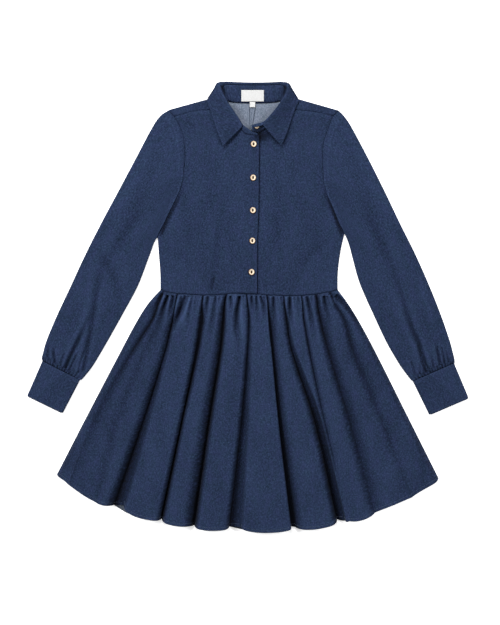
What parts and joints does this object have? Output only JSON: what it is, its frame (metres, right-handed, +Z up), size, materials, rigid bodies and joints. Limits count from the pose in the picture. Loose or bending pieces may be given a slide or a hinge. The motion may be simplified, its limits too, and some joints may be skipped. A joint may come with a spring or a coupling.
{
  "type": "denim shirt dress",
  "caption": "Short denim shirt dress laid flat on its back: pointed collar, buttoned bodice, long cuffed sleeves and a gathered, flared skirt in deep folds.",
  "frame": {"origin": "on the surface the dress lies on, under the middle of its bounding box", "axes": "+Z up from that surface to the buttoned front, +Y from the hem to the collar, +X to the wearer's left sleeve"},
  "size_m": [0.861, 0.8768, 0.025],
  "materials": {
    "denim": "matte dark indigo twill",
    "button": "satin cream with a brown rim",
    "label": "plain white woven ribbon"
  },
  "bodies": {
    "root": {"skirt_back": "denim", "skirt_front": "denim", "bodice_back": "denim", "bodice_front_right": "denim", "bodice_front_left": "denim", "sleeve_right": "denim", "sleeve_left": "denim", "cuff_right": "denim", "cuff_left": "denim", "collar_stand": "denim", "collar": "denim", "button_1": "button", "button_2": "button", "button_3": "button", "button_4": "button", "button_5": "button", "button_stand": "button", "label": "label", "size_tab": "label"}
  },
  "joints": []
}
